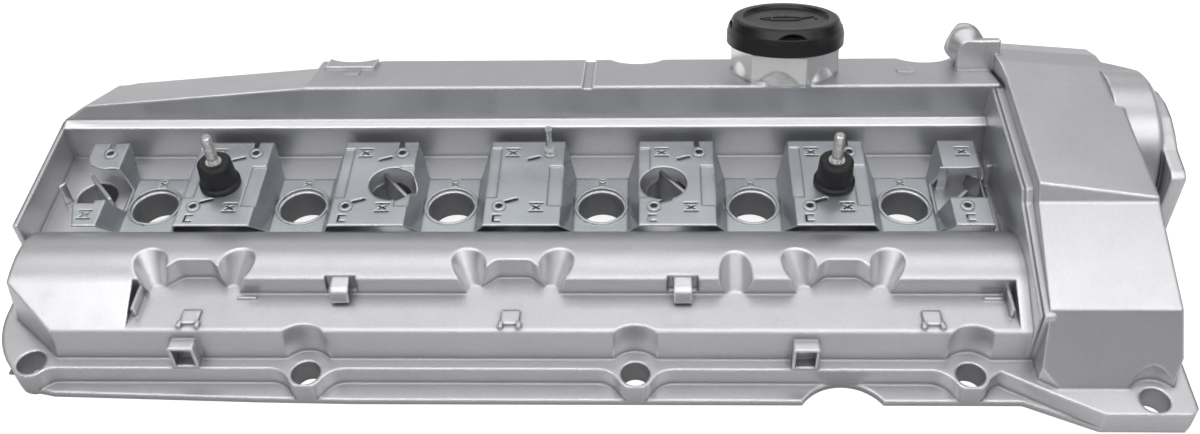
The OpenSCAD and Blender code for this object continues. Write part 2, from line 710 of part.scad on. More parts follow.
module main_cavity() {
    difference() {
        along_x(end_x + wall_t, case_left + over) cavity_section();
        falling_cut(-wall_t - 1);
        end_cuts(wall_t + 1);
        wells_outer();
        pockets_outer();
        translate([3 * bore_pitch - 8.5 - wall_t, -6 - wall_t, pocket_floor - wall_t])
            cube([40, 39 + wall_t, 40]);
        // Walls behind the wrench recesses
        for (x = bolt_xs) {
            translate([x, -bolt_half, -2]) cylinder(r = wrench_r + wall_t, h = 120);
            translate([x, bolt_half, -2]) cylinder(r = wrench_back_r + wall_t, h = 120);
        }
        both_sides() translate([bolt_left[0], -bolt_left[1], -2]) cylinder(r = wrench_r + wall_t - 1, h = 120);
        // Full metal behind the shelf scallops
        for (x = concat(scallop_xs, [groove_x])) translate([x - 39, -riser_y, shelf_z - wall_t])
            cube([78, 21, 30]);
        // Posts for the oil baffle
        for (x = baffle_xs) translate([x, baffle_y, baffle_z + baffle_t]) cylinder(r = post_r, h = 60);
        // Webs that stiffen the valley floor between the wells
        for (k = [-2:2]) translate([k * bore_pitch - wall_t / 2, -cam_y + 12, valley_z - wall_t - 12])
            cube([wall_t, cam_y - 12 + valley_y, 20]);
    }
}

module case_cavity() {
    intersection() {
        along_x(case_left - 3, case_right + over)
            polygon([[-case_front_y + wall_t + 1, -over], [-case_front_y + wall_t + 1, flange_h],
                     [-case_brow_y + wall_t + 1, case_brow_z - wall_t], [-rail_step_y - 12, case_step_z - wall_t - 1],
                     [-rail_step_y, case_step_z - wall_t - 1], [-rail_step_y, case_top_z],
                     [case_back_y - wall_t, case_top_z], [case_back_y - wall_t, -over]]);
        case_roof(wall_t + 1);
        along_y(-case_front_y, case_back_y + 4) case_front_section(wall_t);
        difference() {
            translate([case_left + wall_t, -case_front_y, -over]) cube([case_len - 2 * wall_t, 260, 110]);
            for (y = [-bolt_right[1], bolt_right_back]) translate([bolt_right[0], y, -2])
                cylinder(r = wrench_r + wall_t - 2, h = 120);
        }
    }
    intersection() {
        translate([case_right - 14, dome_y, dome_z]) rotate([0, 90, 0])
            cylinder(r1 = dome_r + 1 - wall_t, r2 = dome_r - wall_t - 1, h = 10 + dome_out, $fn = 96);
        translate([case_right - 20, 0, -over]) cube([60, back_y - wall_t, 120]);
        case_roof(wall_t + 1);
    }
    // Passage from the valley side into the case
    translate([case_left - 3 * over, -cam_y, -over]) cube([wall_t + 6, cam_y + back_y - 8, valley_z - wall_t + over]);
}

// Cover bolt places, the same on both sides
bolt_places = concat([for (x = bolt_xs) [x, bolt_half]], [bolt_left]);

module bolt_holes() {
    both_sides() for (p = bolt_places) translate([p[0], -p[1], -over]) cylinder(r = bolt_hole_r, h = 60);
    for (y = [-bolt_right[1], bolt_right_back]) translate([bolt_right[0], y, -over])
        cylinder(r = bolt_hole_r, h = 60);
}

module wrench_recesses() {
    for (x = bolt_xs) {
        translate([x, -bolt_half, flange_h]) cylinder(r = wrench_r, h = 60);
        translate([x, bolt_half, flange_h]) cylinder(r = wrench_back_r, h = 90);
    }
}

module cover_casting() {
    color("silver") row() difference() {
        union() {
            difference() {
                union() {
                    flange();
                    exhaust_body();
                    valley();
                    intake_body();
                    rail();
                    chain_case();
                    gear_dome();
                    neck_body();
                    pipe_body();
                }
                shelf_recess();
                pockets();
                main_cavity();
                case_cavity();
                wrench_recesses();
            }
            exhaust_trim();
            valley_trim();
        }
        wells_bore();
        for (x = baffle_xs) translate([x, baffle_y, baffle_z]) cylinder(r = screw_r, h = 11);
        bolt_holes();
        neck_bore();
        pipe_bore();
    }
}

// Coil tray

flank_w = (bore_pitch - roof_w - land_w) / 2;
band_drop = 0.9;

module tray_profile() {
    drop = sheet_t;
    for (k = [-3:3]) translate([k * bore_pitch, 0]) {
        l = k == -3 ? 0.5 : -roof_w / 2;
        r = k == 3 ? -0.5 : roof_w / 2;
        fl = k == -3 ? 4.5 : flank_w;
        fr = k == 3 ? 4.2 : flank_w;
        difference() {
            polygon([[l - fl, valley_z], [l - fl, valley_z + sheet_t], [l, tray_z], [r, tray_z],
                     [r + fr, valley_z + sheet_t], [r + fr, valley_z]]);
            polygon([[l - fl + sheet_t, valley_z - over], [l - fl + sheet_t, valley_z],
                     [l + sheet_t / 2, tray_z - drop], [r - sheet_t / 2, tray_z - drop],
                     [r + fr - sheet_t, valley_z], [r + fr - sheet_t, valley_z - over]]);
        }
    }
    for (k = [-2.5:1:2.5]) translate([k * bore_pitch - land_w / 2 - over / 2, valley_z])
        square([land_w + over, sheet_t]);
}

module tray_side() {
    polygon([[-land_front_y, valley_z - over], [-land_front_y, valley_z + 2], [-tray_front_y, tray_z - sheet_t],
             [-tray_front_y, tray_z + over], [tray_back_y, tray_z + over], [tray_back_y, tray_z - 2],
             [land_back_y, valley_z + 1], [land_back_y, valley_z - over]]);
}

module slot(l, w) {
    square([l - w, w], center = true);
    for (s = [-1, 1]) translate([s * (l - w) / 2, 0]) circle(r = w / 2, $fn = 16);
}

// Hourglass piercing: two bars with crossed strokes between them
module hourglass() {
    for (s = [-1, 1]) translate([0, s * 3.3]) square([8.4, 1.1], center = true);
    difference() {
        union() for (a = [35, -35]) rotate(a) square([6.4, 1], center = true);
        for (s = [-1, 1]) translate([0, s * 3.3]) square([10, 2.8], center = true);
    }
}

// Three-sided piercing that leaves a small tongue
module tongue_slit() {
    translate([-2.2, 0]) square([1, 6], center = true);
    for (y = [-2.5, 2.5]) translate([0, y]) square([4.4, 1], center = true);
}

module platform_piercings() {
    translate([coil_dx, coil_back_y]) circle(r = bush_r);
    translate([-coil_dx, -coil_front_y]) circle(r = bush_r);
    translate([4.2, coil_back_y - 4.8]) rotate(20) slot(8.6, 2.4);
    translate([-7, -coil_front_y + 5.2]) rotate(20) slot(8.6, 2.4);
    translate([-9, coil_back_y + 0.6]) hourglass();
    translate([8, -coil_front_y - 0.4]) hourglass();
    translate([-14.4, -coil_front_y - 9.3]) tongue_slit();
    translate([12.4, tray_back_y - 2]) square([3.2, 6], center = true);
}

module tray_cuts() {
    for (k = [-2:2]) translate([k * bore_pitch, 0]) from_z(tray_z - 4, tray_z + 4) platform_piercings();
    translate([-3 * bore_pitch, 0]) from_z(tray_z - 4, tray_z + 4) {
        translate([coil_dx, coil_back_y]) circle(r = bush_r);
        translate([13.5, -coil_front_y - 6]) hourglass();
        translate([12.4, tray_back_y - 2]) square([3.2, 6], center = true);
    }
    translate([3 * bore_pitch, 0]) from_z(tray_z - 4, tray_z + 4) {
        translate([-coil_dx, -coil_front_y]) circle(r = bush_r);
        translate([-9, coil_back_y + 0.6]) hourglass();
        translate([-13, -coil_front_y - 9.3]) tongue_slit();
    }
    // Openings above the casting bosses
    for (p = [[-3, 18], [-1, 11], [1, -8]])
        translate([p[0] * bore_pitch + p[1], 4, valley_z + 2.6]) cylinder(r = window_r, h = 40);
    for (i = [0:wells - 1]) translate([(i - (wells - 1) / 2) * bore_pitch, 0, 0]) {
        translate([0, 0, valley_z - over]) cylinder(r = lip_r, h = 20);
        from_z(valley_z - over, valley_z + 4) translate([0, land_back_y - 4.6]) intersection() {
            hourglass();
            square([5, 20], center = true);
        }
    }
    // Wide openings across the end platforms, and the cut edge of the first one
    translate([half_row - 31, -8.5, valley_z + 3]) cube([31, 25, 30]);
    from_z(valley_z + 3, tray_z + 4) polygon([[half_row - 10, 16], [half_row - 10, -8.5], [half_row + 20, -8.5],
                                              [half_row + 20, 21]]);
    from_z(valley_z - over, tray_z + 4) polygon([[-half_row - 10, -12.5], [-half_row + 16, -12.5],
        [-half_row + 16, 17], [-half_row + 10, 18], [-half_row + 3.4, 21.5], [-half_row, 28], [-half_row - 10, 28]]);
    translate([-half_row - 10, -60, valley_z - over]) cube([10.4, 120, 30]);
    from_z(valley_z + 3, tray_z + 4) polygon([[-half_row - 20, -4], [-half_row + 1, -4], [-half_row + 11, -40],
                                              [-half_row - 20, -40]]);
    // Side bands pressed a little lower than the platform
    for (k = [-2:2]) translate([k * bore_pitch, 0, tray_z - band_drop]) {
        translate([-roof_w / 2 - over, -8, 0]) cube([6.4 + over, 43, 4]);
        translate([roof_w / 2 - 8.2, -15, 0]) cube([9.2 + over, 34, 4]);
    }
    for (x = buffer_xs) translate([x, buffer_y, tray_z - 5]) cylinder(r = stud_r + 0.3, h = 10);
}

module coil_tray() {
    color("gainsboro") row() difference() {
        union() {
            intersection() {
                along_y(-60, 60) tray_profile();
                along_x(left_x, case_left) tray_side();
            }
            for (i = [0:wells - 1]) translate([(i - (wells - 1) / 2) * bore_pitch, 0, valley_z + sheet_t - eps])
                cylinder(r = lip_r + sheet_t, h = 1.5);
            // Tab bent down from the front edge of the last platform's rear roof
            translate([half_row - roof_w / 2 - 2, 16.4, valley_z]) cube([5.2, sheet_t, tray_z - valley_z]);
            for (k = [-2:2]) translate([k * bore_pitch, 0, tray_z - sheet_t - band_drop]) {
                translate([-roof_w / 2 + 0.6, -9, 0]) cube([6.8, 45, sheet_t + 0.1]);
                translate([roof_w / 2 - 9.2, -16, 0]) cube([8.6, 36, sheet_t + 0.1]);
            }
        }
        tray_cuts();
    }
}

bush_r = coil_thread_r + 1.1;
coil_places = concat([for (k = [-3:2]) [k * bore_pitch + coil_dx, coil_back_y]],
                     [for (k = [-2:3]) [k * bore_pitch - coil_dx, -coil_front_y]]);

bush_rim = 0.9;
bush_len = 7;

module coil_bushes() {
    color("gainsboro") row() for (p = coil_places) translate([p[0], p[1], tray_z]) difference() {
        union() {
            cylinder(r = bush_r + bush_rim, h = sheet_t);
            translate([0, 0, -bush_len]) cylinder(r = bush_r - eps, h = bush_len + eps);
        }
        translate([0, 0, -bush_len - over]) cylinder(r = coil_thread_r, h = bush_len + 4);
    }
}

// Rubber buffers with bonded studs

buffer_xs = [-2 * bore_pitch - buffer_out, 2 * bore_pitch + buffer_out];
bond_t = 2;
bond_r = stud_r + 1.8;

module at_buffer(i) {
    translate([buffer_xs[i], buffer_y, tray_z]) children();
}

module buffer(i) {
    color([0.06, 0.06, 0.07]) row() at_buffer(i) difference() {
        rotate_extrude() polygon([[0, 0], [buffer_foot_r, 0], [buffer_foot_r, 2.6],
            [buffer_foot_r - 1.4, 3.8], [buffer_top_r, buffer_h - 1.4], [buffer_top_r - 1.4, buffer_h],
            [0, buffer_h]]);
        translate([0, 0, buffer_h - bond_t]) cylinder(r = bond_r, h = bond_t + over);
        translate([0, 0, -over]) cylinder(r = bond_r, h = bond_t + over);
    }
}

// Stud with a head that the rubber is bonded to
module bonded_stud(len) {
    cylinder(r = bond_r, h = bond_t);
    translate([0, 0, bond_t - eps]) cylinder(r = stud_r, h = len - 0.8 + eps);
    translate([0, 0, bond_t + len - 0.8 - eps]) cylinder(r1 = stud_r, r2 = stud_r - 0.8, h = 0.8);
}

module buffer_stud(i) {
    color("lightgray") row() at_buffer(i) translate([0, 0, buffer_h - bond_t]) bonded_stud(stud_len);
}

nut_h = 5;
foot_stud_len = sheet_t + nut_h + 3;

module buffer_foot_stud(i) {
    color("lightgray") row() at_buffer(i) translate([0, 0, bond_t]) mirror([0, 0, 1]) bonded_stud(foot_stud_len);
}

module buffer_nut(i) {
    color("lightgray") row() at_buffer(i) translate([0, 0, -sheet_t - nut_h]) difference() {
        cylinder(r = stud_r * 1.92, h = nut_h, $fn = 6);
        translate([0, 0, -over]) cylinder(r = stud_r + 0.02, h = nut_h + 2 * over);
    }
}

// Earth stud on the middle platform's rear screw boss
module earth_stud() {
    color("lightgray") row() translate([coil_dx, coil_back_y, tray_z + sheet_t]) {
        cylinder(r = coil_thread_r + 1.2, h = 2.4);
        translate([0, 0, -8]) cylinder(r = coil_thread_r - 0.02, h = 8.5);
        translate([0, 0, 2]) cylinder(r = 1.6, h = earth_h - 3.1);
        translate([0, 0, earth_h - 2.6]) cylinder(r = 2.3, h = 1.5);
    }
}

// Filler cap: shell, plug with lugs, and seal ring

groove_top = 4;
groove_h = 7.4;
entry_gap = 0.2;
lug_h = 4.4;
lug_deg = 34;
shell_t = 2.6;
plug_top = 3.2;
seal_z = 1.6;
plug_r = filler_r - 0.1;

module at_cap() {
    on_plateau(neck_x, neck_v) translate([0, 0, neck_h + seat]) children();
}

module cap_shell() {
    color([0.07, 0.07, 0.08]) row() at_cap() difference() {
        rotate_extrude($fn = 96) polygon([[0, cap_h - 6.8], [cap_r - shell_t, cap_h - 6.8], [cap_r - shell_t, 0],
            [cap_r - 0.6, 0], [cap_r, 0.6], [cap_r, cap_rim_h - 3.6], [cap_r - 1, cap_rim_h],
            [cap_r - 3.4, cap_h - 0.8], [cap_r - 5, cap_h], [cap_r - 9.4, cap_h], [cap_r - 10.2, cap_h - 1.8],
            [0, cap_h - 1.8]]);
        // Finger scoops round the rim
        for (a = [0:90:270]) rotate([0, 0, a - 88]) intersection() {
            translate([cap_r + 8, 0, cap_rim_h - 8.4]) sphere(r = 16, $fn = 48);
            translate([0, -20, cap_rim_h + 0.2]) cube([cap_r + 10, 40, 20]);
        }
    }
}

module cap_plug() {
    color([0.07, 0.07, 0.08]) row() at_cap() {
        difference() {
            union() {
                translate([0, 0, plug_top]) cylinder(r = cap_r - shell_t - 1, h = cap_h - 6.8 - plug_top);
                translate([0, 0, -groove_top - groove_h + 0.6]) cylinder(r = plug_r, h = plug_top + groove_top + groove_h);
            }
            translate([0, 0, -20]) cylinder(r = plug_r - 3, h = 21);
        }
        for (a = [0, 180]) rotate([0, 0, a]) translate([0, 0, -seat - groove_top - groove_h + 0.4]) intersection() {
            difference() {
                cylinder(r = groove_r - 0.4, h = lug_h);
                translate([0, 0, -over]) cylinder(r = plug_r - 1, h = lug_h + 2 * over);
            }
            rotate([0, 0, -lug_deg / 2]) wedge(lug_deg, groove_r * 2, lug_h);
        }
    }
}

module cap_seal() {
    color([0.05, 0.05, 0.05]) row() at_cap() translate([0, 0, -seat]) difference() {
        cylinder(r = filler_r + 4.4, h = plug_top + seat);
        translate([0, 0, -over]) cylinder(r = plug_r + 0.5, h = 10);
    }
}

// Oil baffle under the intake plateau

baffle_xs = [-half_row + 60, 0, half_row - 60];
baffle_z = 44;
post_r = 5;
screw_r = 2.4;
baffle_len = 2 * half_row - 100;
baffle_t = 1.5;
baffle_w = bolt_half - wrench_back_r - wall_t - valley_y - wall_t - 2;
baffle_y = valley_y + wall_t + 1 + baffle_w / 2;

module baffle_plate() {
    color("darkgray") row() difference() {
        translate([-baffle_len / 2, valley_y + wall_t + 1, baffle_z]) cube([baffle_len, baffle_w, baffle_t]);
        for (x = baffle_xs) translate([x, baffle_y, baffle_z - over]) cylinder(r = screw_r + 0.3, h = 5);
        for (x = [-half_row + 100:40:half_row - 90]) translate([x, baffle_y - 9, baffle_z - over])
            cylinder(r = 3, h = 5);
    }
}

module baffle_screws() {
    color("lightgray") row() for (x = baffle_xs) translate([x, baffle_y, baffle_z]) {
        translate([0, 0, -screw_r]) cylinder(r = screw_r * 1.8, h = screw_r);
        translate([0, 0, -eps]) cylinder(r = screw_r, h = 3 * screw_r);
    }
}

cover_casting();
coil_tray();
coil_bushes();
buffer(0);  // buffer_left
buffer(1);  // buffer_right
buffer_stud(0);  // buffer_stud_left
buffer_stud(1);  // buffer_stud_right
buffer_foot_stud(0);  // buffer_foot_stud_left
buffer_foot_stud(1);  // buffer_foot_stud_right
buffer_nut(0);  // buffer_nut_left
buffer_nut(1);  // buffer_nut_right
earth_stud();
cap_shell();
cap_plug();
cap_seal();
baffle_plate();
baffle_screws();
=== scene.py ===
"""Looks of the cast valve cover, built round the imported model.

Metres, X along the engine, Y across it, Z away from the gasket face.
"""
import json
import math

import bmesh
import bpy
from mathutils import Matrix, Vector


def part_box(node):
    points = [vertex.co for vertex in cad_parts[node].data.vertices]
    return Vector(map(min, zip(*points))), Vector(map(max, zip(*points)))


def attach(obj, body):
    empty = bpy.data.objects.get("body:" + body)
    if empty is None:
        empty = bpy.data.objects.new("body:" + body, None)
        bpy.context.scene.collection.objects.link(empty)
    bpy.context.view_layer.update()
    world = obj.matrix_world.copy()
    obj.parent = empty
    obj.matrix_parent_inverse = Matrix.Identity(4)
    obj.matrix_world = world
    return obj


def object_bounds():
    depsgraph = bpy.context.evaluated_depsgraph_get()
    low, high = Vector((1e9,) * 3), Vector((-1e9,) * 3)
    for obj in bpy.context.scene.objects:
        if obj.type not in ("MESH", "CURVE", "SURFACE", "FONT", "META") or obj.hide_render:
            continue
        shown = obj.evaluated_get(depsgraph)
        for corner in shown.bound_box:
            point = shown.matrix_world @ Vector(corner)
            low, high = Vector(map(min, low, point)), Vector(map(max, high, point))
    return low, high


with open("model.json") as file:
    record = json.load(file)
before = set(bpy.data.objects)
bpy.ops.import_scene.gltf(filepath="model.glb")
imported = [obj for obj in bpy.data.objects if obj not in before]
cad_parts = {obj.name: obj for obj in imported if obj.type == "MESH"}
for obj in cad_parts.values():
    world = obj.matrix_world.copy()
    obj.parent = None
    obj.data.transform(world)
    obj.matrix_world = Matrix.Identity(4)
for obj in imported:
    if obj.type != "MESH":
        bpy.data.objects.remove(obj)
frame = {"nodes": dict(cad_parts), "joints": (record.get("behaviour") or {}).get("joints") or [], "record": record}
cad_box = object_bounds()
nodes = frame["nodes"]

MM = 0.001
WHITE = (1.0, 1.0, 1.0, 1.0)
PLATEAU_TILT = math.radians(21)
CAP_JOINT = "cap_turn"


# Camera

CAMERA_PLACE_MM = (9.25, -543.4, 571.7)
CAMERA_YAW_PITCH_ROLL = (-2.8, 45.15, -2.06)
LENS_MM, SENSOR_MM = 38.13, 36
CAMERA_SHIFT = (-0.00683, -0.00358)
CLIP_NEAR, CLIP_FAR = 0.01, 50


def aim_camera():
    """The photograph's camera, as solved from the plug wells and the bolt holes."""
    place = Vector(CAMERA_PLACE_MM) * MM
    yaw, pitch, roll = (math.radians(a) for a in CAMERA_YAW_PITCH_ROLL)
    forward = Vector((math.sin(yaw) * math.cos(pitch), math.cos(yaw) * math.cos(pitch),
                      -math.sin(pitch)))
    level = Vector((math.cos(yaw), -math.sin(yaw), 0))
    upward = level.cross(forward)
    right = math.cos(roll) * level + math.sin(roll) * upward
    top = math.cos(roll) * upward - math.sin(roll) * level
    data = bpy.data.cameras.new("camera")
    data.sensor_width = SENSOR_MM
    data.lens = LENS_MM
    data.shift_x, data.shift_y = CAMERA_SHIFT
    data.clip_start, data.clip_end = CLIP_NEAR, CLIP_FAR
    camera = bpy.data.objects.new("camera", data)
    rows = Matrix((right, top, -forward)).transposed().to_4x4()
    rows.translation = place
    camera.matrix_world = rows
    bpy.context.scene.collection.objects.link(camera)
    bpy.context.scene.camera = camera


# Small helpers for node trees

class Tree:
    """Adds nodes to a tree and joins them. A socket is given by its name, or its number as text."""

    def __init__(self, tree):
        self.tree = tree

    def add(self, kind, settings=None, **inputs):
        node = self.tree.nodes.new(kind)
        for key, value in (settings or {}).items():
            setattr(node, key, value)
        for key, value in inputs.items():
            self.put(node, key.replace("_", " "), value)
        return node

    def put(self, node, key, value):
        socket = node.inputs[int(key)] if key.isdigit() else node.inputs[key]
        if hasattr(value, "links"):
            self.tree.links.new(value, socket)
        else:
            socket.default_value = value

    def math(self, operation, a, b=0.0):
        node = self.tree.nodes.new("ShaderNodeMath")
        node.operation = operation
        self.put(node, "0", a)
        self.put(node, "1", b)
        return node.outputs[0]

    def mix(self, share, a, b):
        """Colour between a and b."""
        node = self.tree.nodes.new("ShaderNodeMix")
        node.data_type = "RGBA"
        self.put(node, "0", share)
        self.put(node, "6", a)
        self.put(node, "7", b)
        return node.outputs[2]

    def spread(self, value, lo, hi, to_lo, to_hi):
        """The value taken from lo..hi to to_lo..to_hi, and held at both ends."""
        node = self.tree.nodes.new("ShaderNodeMapRange")
        for key, v in zip("01234", (value, lo, hi, to_lo, to_hi)):
            self.put(node, key, v)
        return node.outputs[0]

    def noise(self, vector, scale, detail=2.0, rough=0.5):
        node = self.add("ShaderNodeTexNoise", Vector=vector, Scale=scale, Detail=detail,
                        Roughness=rough)
        return node.outputs["Fac"]

    def split(self, vector):
        """The X, Y and Z of a vector."""
        return self.add("ShaderNodeSeparateXYZ", Vector=vector).outputs

    def cell_value(self, vector, scale):
        """One random value for each cell of a Voronoi pattern."""
        cells = self.add("ShaderNodeTexVoronoi", {"feature": "F1"}, Vector=vector, Scale=scale)
        return self.add("ShaderNodeSeparateColor", Color=cells.outputs["Color"]).outputs[0]

    def facing(self):
        """The surface's own normal, without bump or rounded edges."""
        return self.add("ShaderNodeNewGeometry").outputs["Normal"]


# Effects that the finishes share

def shader_group(name, ins, outs):
    """An empty shader node group, its tree, and the sockets that start and end it."""
    group = bpy.data.node_groups.new(name, "ShaderNodeTree")
    for label, kind, value in ins:
        socket = group.interface.new_socket(name=label, in_out="INPUT", socket_type=kind)
        if value is not None:
            socket.default_value = value
    for label, kind in outs:
        group.interface.new_socket(name=label, in_out="OUTPUT", socket_type=kind)
    t = Tree(group)
    return group, t, t.add("NodeGroupInput").outputs, t.add("NodeGroupOutput").inputs


FLOAT, VECTOR = "NodeSocketFloat", "NodeSocketVector"
RAY_SAMPLES = 6
# Limits of the masks: how far the normal turns at an edge, as cosines, and how open a point lies
EDGE_COSINES = (0.995, 0.8)
CREASE_OPENNESS, FREE_OPENNESS = (0.45, 0.92), (0.78, 0.97)


def make_edge_group():
    """Rounded edges: the normal of a small edge radius, and a mask of where the edge is."""
    group, t, ins, outs = shader_group(
        "rounded_edges", [("Radius", FLOAT, 0.001)], [("Normal", VECTOR), ("Edge", FLOAT)])
    bevel = t.add("ShaderNodeBevel", {"samples": RAY_SAMPLES})
    t.put(bevel, "Radius", ins["Radius"])
    dot = t.add("ShaderNodeVectorMath", {"operation": "DOT_PRODUCT"})
    t.put(dot, "0", bevel.outputs[0])
    t.put(dot, "1", t.facing())
    t.tree.links.new(bevel.outputs[0], outs["Normal"])
    t.tree.links.new(t.spread(dot.outputs["Value"], *EDGE_COSINES, 0.0, 1.0), outs["Edge"])
    return group


def make_crease_group():
    """Masks of how deep a point lies in a crease, and of the edges that stand free."""
    group, t, ins, outs = shader_group(
        "creases", [("Reach", FLOAT, 0.003), ("Edge", FLOAT, 0.0)],
        [("Crease", FLOAT), ("Free edge", FLOAT)])
    near = t.add("ShaderNodeAmbientOcclusion", {"samples": RAY_SAMPLES, "only_local": True})
    t.put(near, "Distance", ins["Reach"])
    open_share = near.outputs["AO"]
    t.tree.links.new(t.spread(open_share, *CREASE_OPENNESS, 1.0, 0.0), outs["Crease"])
    free = t.spread(open_share, *FREE_OPENNESS, 0.0, 1.0)
    t.tree.links.new(t.math("MULTIPLY", free, ins["Edge"]), outs["Free edge"])
    return group


def make_grain_group():
    """Fine grain with broad, faint mottling: a height for bump and a tone between 0 and 1."""
    group, t, ins, outs = shader_group(
        "surface_grain",
        [("Vector", VECTOR, None), ("Grain", FLOAT, 900.0), ("Mottle", FLOAT, 30.0)],
        [("Height", FLOAT), ("Tone", FLOAT)])
    fine = t.noise(ins["Vector"], ins["Grain"], 3.0, 0.6)
    broad = t.noise(ins["Vector"], ins["Mottle"], 4.0, 0.55)
    for output, fine_share, broad_share in (("Height", 0.8, 0.6), ("Tone", 0.35, 0.65)):
        both = t.math("ADD", t.math("MULTIPLY", fine, fine_share),
                      t.math("MULTIPLY", broad, broad_share))
        t.tree.links.new(both, outs[output])
    return group


def make_dust_group():
    """Dust and dull spots that lie on what faces upwards."""
    group, t, ins, outs = shader_group(
        "settled_dust", [("Vector", VECTOR, None), ("Scale", FLOAT, 60.0)], [("Mask", FLOAT)])
    up = t.spread(t.split(t.facing())["Z"], 0.2, 1.0, 0.0, 1.0)
    cloud = t.spread(t.noise(ins["Vector"], ins["Scale"], 5.0, 0.65), 0.45, 0.75, 0.0, 1.0)
    t.tree.links.new(t.math("MULTIPLY", up, cloud), outs["Mask"])
    return group


EDGES, CREASES = make_edge_group(), make_crease_group()
GRAIN, DUST = make_grain_group(), make_dust_group()
DUST_SCALE = 55.0


class Finish:
    """One material: a Principled shader with rounded edges, creases, grain and dust in place.

    Edge radius, bump distance and the reach of creases are in metres. Grain and mottle are counts
    per metre.
    """

    def __init__(self, name, edge_radius, grain, mottle, bump, bump_distance=0.0004, reach=0.003):
        self.material = bpy.data.materials.new(name)
        self.material.use_nodes = True
        self.t = Tree(self.material.node_tree)
        self.shader = self.material.node_tree.nodes["Principled BSDF"]
        self.place = self.t.add("ShaderNodeTexCoord").outputs["Object"]
        self.edge = self.group(EDGES, Radius=edge_radius)
        self.crease = self.group(CREASES, Reach=reach, Edge=self.edge["Edge"])
        self.grain = self.group(GRAIN, Vector=self.place, Grain=grain, Mottle=mottle)
        self.dust = self.group(DUST, Vector=self.place, Scale=DUST_SCALE)
        self.bump = self.t.add("ShaderNodeBump", Strength=bump, Distance=bump_distance,
                               Height=self.grain["Height"], Normal=self.edge["Normal"])
        self.t.put(self.shader, "Normal", self.bump.outputs[0])

    def group(self, tree, **inputs):
        node = self.t.add("ShaderNodeGroup", {"node_tree": tree}, **inputs)
        return node.outputs

    def set(self, **inputs):
        for key, value in inputs.items():
            self.t.put(self.shader, key.replace("_", " "), value)

    def covered(self, under, mask, share, over):
        """The colour over laid on the colour under, by that share of a mask."""
        return self.t.mix(self.t.math("MULTIPLY", mask, share), under, over)

    def by_grain(self, low, high):
        """A value between low and high that follows the grain."""
        return self.t.spread(self.grain["Tone"], 0.3, 0.7, low, high)


# The machined filler neck, and the ledge of the casting that carries a painted highlight, in metres

NECK_REACH, NECK_FADE = 0.034, 0.0015
NECK_FOOT = (0.0008, 0.0016)
LEDGE_MIDDLE, LEDGE_HALF, LEDGE_FADE = 0.04975, 0.0031, 0.0005
LEDGE_LEVEL, LEDGE_RISE = 0.0539, 0.0010


def neck_middle():
    """The middle of the filler neck's foot, where the cap's joint has its place."""
    return Vector(next(j["pos_m"] for j in frame["joints"] if j["name"] == CAP_JOINT))


def turned_share(t, place):
    """Mask of the machined filler neck: what lies within its radius round its own sloped axis."""
    along = Vector((0, math.sin(PLATEAU_TILT), math.cos(PLATEAU_TILT)))
    offset = t.add("ShaderNodeVectorMath", {"operation": "SUBTRACT"})
    t.put(offset, "0", place)
    t.put(offset, "1", tuple(neck_middle()))
    height = t.add("ShaderNodeVectorMath", {"operation": "DOT_PRODUCT"})
    t.put(height, "0", offset.outputs[0])
    t.put(height, "1", tuple(along))
    size = t.add("ShaderNodeVectorMath", {"operation": "LENGTH"})
    t.put(size, "0", offset.outputs[0])
    squared = t.math("SUBTRACT", t.math("POWER", size.outputs["Value"], 2.0),
                     t.math("POWER", height.outputs["Value"], 2.0))
    radius = t.math("SQRT", t.math("MAXIMUM", squared, 0.0))
    inside = t.spread(radius, NECK_REACH, NECK_REACH + NECK_FADE, 1.0, 0.0)
    above = t.spread(height.outputs["Value"], *NECK_FOOT, 0.0, 1.0)
    return t.math("MULTIPLY", inside, above)


def ledge_highlight_share(t, place):
    """Mask of a painted highlight on the ledge in the valley wall: a narrow strip that faces up."""
    at = t.split(place)
    share = t.spread(t.split(t.facing())["Z"], 0.80, 0.92, 0.0, 1.0)
    for key, middle, half in (("Y", LEDGE_MIDDLE, LEDGE_HALF), ("Z", LEDGE_LEVEL, LEDGE_RISE)):
        away = t.math("ABSOLUTE", t.math("SUBTRACT", at[key], middle))
        share = t.math("MULTIPLY", share, t.spread(away, half, half + LEDGE_FADE, 1.0, 0.0))
    return share


# Colours of the finishes, from dull to bright, of what lies on them, of the painted shade in creases and of the
# painted highlights on edges

PAINT = {"dull": (0.58, 0.58, 0.60, 1), "bright": (0.665, 0.665, 0.685, 1),
         "machined": (0.95, 0.95, 0.96, 1), "wear_and_highlight": (0.97, 0.97, 0.98, 1),
         "crease_shade": (0.17, 0.17, 0.18, 1), "dust": (0.42, 0.41, 0.40, 1)}
SHEET = {"dull": (0.44, 0.465, 0.49, 1), "bright": (0.57, 0.60, 0.63, 1),
         "crystal": (0.67, 0.70, 0.73, 1), "streak": (0.33, 0.35, 0.36, 1),
         "bend_highlight": (0.90, 0.92, 0.93, 1), "crease_shade": (0.10, 0.11, 0.115, 1)}
TURNED = {"dull": (0.56, 0.56, 0.55, 1), "bright": (0.80, 0.80, 0.78, 1),
          "ring": (0.42, 0.42, 0.41, 1)}
RUBBER = {"dull": (0.006, 0.006, 0.007, 1), "bright": (0.018, 0.018, 0.020, 1),
          "bloom": (0.08, 0.08, 0.08, 1), "wear_and_highlight": (0.05, 0.05, 0.052, 1)}
PLASTIC = {"dull": (0.005, 0.005, 0.006, 1), "bright": (0.013, 0.013, 0.015, 1),
           "handled_and_highlit": (0.055, 0.055, 0.06, 1), "dust": (0.10, 0.10, 0.10, 1)}


